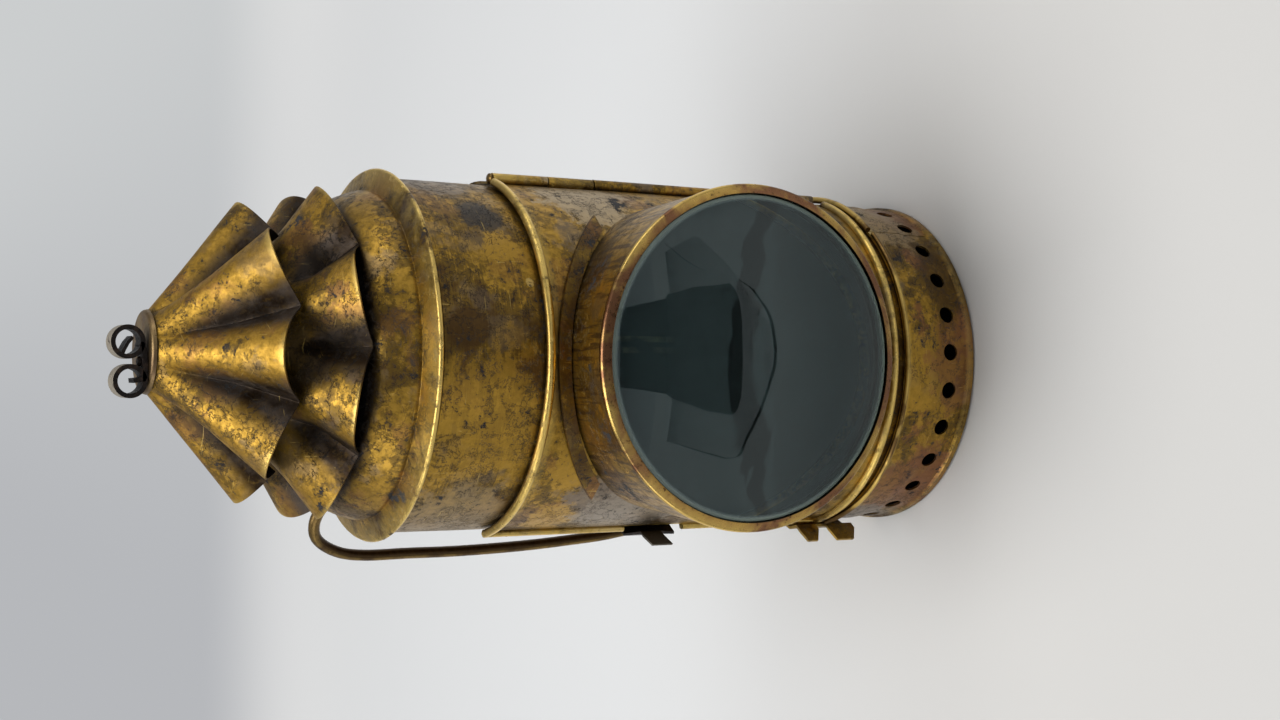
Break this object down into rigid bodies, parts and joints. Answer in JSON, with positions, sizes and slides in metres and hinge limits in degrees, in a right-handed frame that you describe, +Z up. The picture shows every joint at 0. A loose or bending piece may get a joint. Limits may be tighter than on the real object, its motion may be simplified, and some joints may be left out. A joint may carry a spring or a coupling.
{
  "type": "bullseye lantern",
  "caption": "Small tarnished brass bullseye oil lantern with a bulging glass lens in a hinged door, a crimped chimney crown that turns the inner shutter, and wire handles.",
  "frame": {"origin": "centre of the base's underside, on the axis of the round case", "axes": "+Z up along the case, -Y towards the lens, +X to the viewer's right, the door's hinge side"},
  "size_m": [0.0965, 0.122, 0.2046],
  "materials": {
    "tube_brass": "tarnished",
    "base_brass": "tarnished",
    "floor_brass": "tarnished",
    "sill_front_brass": "tarnished",
    "sill_side_brass": "tarnished",
    "leaf_brass": "tarnished",
    "pin_steel": "blackened",
    "left_upper_bracket_brass": "tarnished",
    "left_lower_bracket_brass": "tarnished",
    "right_upper_bracket_brass": "tarnished",
    "right_lower_bracket_brass": "tarnished",
    "clip_brass": "tarnished",
    "clip_rivet_upper_brass": "tarnished",
    "clip_rivet_lower_brass": "tarnished",
    "catch_rivet_steel": "blackened",
    "lower_rivet_brass": "tarnished",
    "bearing_brass": "tarnished",
    "font_ring_brass": "tarnished",
    "font_tin": "dull tin",
    "filler_brass": "satin",
    "burner_brass": "satin",
    "wick_tube_brass": "satin",
    "wick_cotton": "woven",
    "reflector_silver": "silvered",
    "reflector_bracket_brass": "tarnished",
    "cap_brass": "tarnished",
    "sleeve_brass": "sooty",
    "chimney_brass": "sooty",
    "lower_crown_brass": "tarnished",
    "upper_crown_brass": "tarnished",
    "plate_brass": "tarnished",
    "scroll_iron": "blackened",
    "finial_rivet_steel": "blackened",
    "door_brass": "tarnished",
    "barrel_brass": "tarnished",
    "upper_flange_brass": "tarnished",
    "lower_flange_brass": "tarnished",
    "rim_brass": "worn bright",
    "lens_glass": "clear",
    "retainer_brass": "satin",
    "left_handle_wire": "tarnished",
    "right_handle_wire": "tarnished",
    "catch_steel": "blackened",
    "lower_catch_brass": "tarnished"
  },
  "bodies": {
    "case": {"body_tube": "tube_brass", "base_ring": "base_brass", "base_plate": "floor_brass", "sill_wire_front": "sill_front_brass", "sill_wire_side": "sill_side_brass", "hinge_leaf": "leaf_brass", "hinge_pin": "pin_steel", "handle_bracket_left_upper": "left_upper_bracket_brass", "handle_bracket_left_lower": "left_lower_bracket_brass", "handle_bracket_right_upper": "right_upper_bracket_brass", "handle_bracket_right_lower": "right_lower_bracket_brass", "belt_clip": "clip_brass", "belt_clip_rivet_1": "clip_rivet_upper_brass", "belt_clip_rivet_2": "clip_rivet_lower_brass", "upper_catch_rivet": "catch_rivet_steel", "lower_catch_rivet": "lower_rivet_brass", "bearing_ring": "bearing_brass", "font_ring": "font_ring_brass", "oil_font": "font_tin", "filler_cap": "filler_brass", "burner": "burner_brass", "wick_tube": "wick_tube_brass", "wick": "wick_cotton", "reflector": "reflector_silver", "reflector_bracket": "reflector_bracket_brass"},
    "turning_top": {"cap": "cap_brass", "shutter_sleeve": "sleeve_brass", "chimney_tube": "chimney_brass", "lower_crown": "lower_crown_brass", "upper_crown": "upper_crown_brass", "top_plate": "plate_brass", "scroll_finial": "scroll_iron", "finial_rivet": "finial_rivet_steel"},
    "door": {"door_shell": "door_brass", "lens_barrel": "barrel_brass", "barrel_flange_upper": "upper_flange_brass", "barrel_flange_lower": "lower_flange_brass", "lens_rim": "rim_brass", "lens_glass": "lens_glass", "lens_retaining_ring": "retainer_brass"},
    "left_grip": {"left_handle": "left_handle_wire"},
    "right_grip": {"right_handle": "right_handle_wire"},
    "upper_spring_catch": {"upper_catch": "catch_steel"},
    "lower_spring_catch": {"lower_catch": "lower_catch_brass"}
  },
  "joints": [
    {"name": "door_swing", "type": "hinge", "parent": "case", "child": "door", "pos_m": [0.04172, -0.00933, 0.0725], "axis": [0, 0, 1], "range_deg": [0, 115]},
    {"name": "crown_turn", "type": "hinge", "parent": "case", "child": "turning_top", "pos_m": [0, 0, 0.1446], "axis": [0, 0, 1], "range_deg": [0, 175]},
    {"name": "left_handle_swing", "type": "hinge", "parent": "case", "child": "left_grip", "pos_m": [-0.03101, 0.03101, 0.0845], "axis": [0, 0, 1], "range_deg": [-55, 60]},
    {"name": "right_handle_swing", "type": "hinge", "parent": "case", "child": "right_grip", "pos_m": [0.03101, 0.03101, 0.0845], "axis": [0, 0, 1], "range_deg": [-115, 0]},
    {"name": "upper_catch_flex", "type": "hinge", "parent": "case", "child": "upper_spring_catch", "pos_m": [-0.0409, 0.00758, 0.0748], "axis": [0, 0, -1], "range_deg": [0, 7], "stiffness_Nm_per_rad": 0.6},
    {"name": "lower_catch_flex", "type": "hinge", "parent": "case", "child": "lower_spring_catch", "pos_m": [-0.04228, 0.00482, 0.0182], "axis": [0, 0, -1], "range_deg": [0, 7], "stiffness_Nm_per_rad": 0.6}
  ]
}
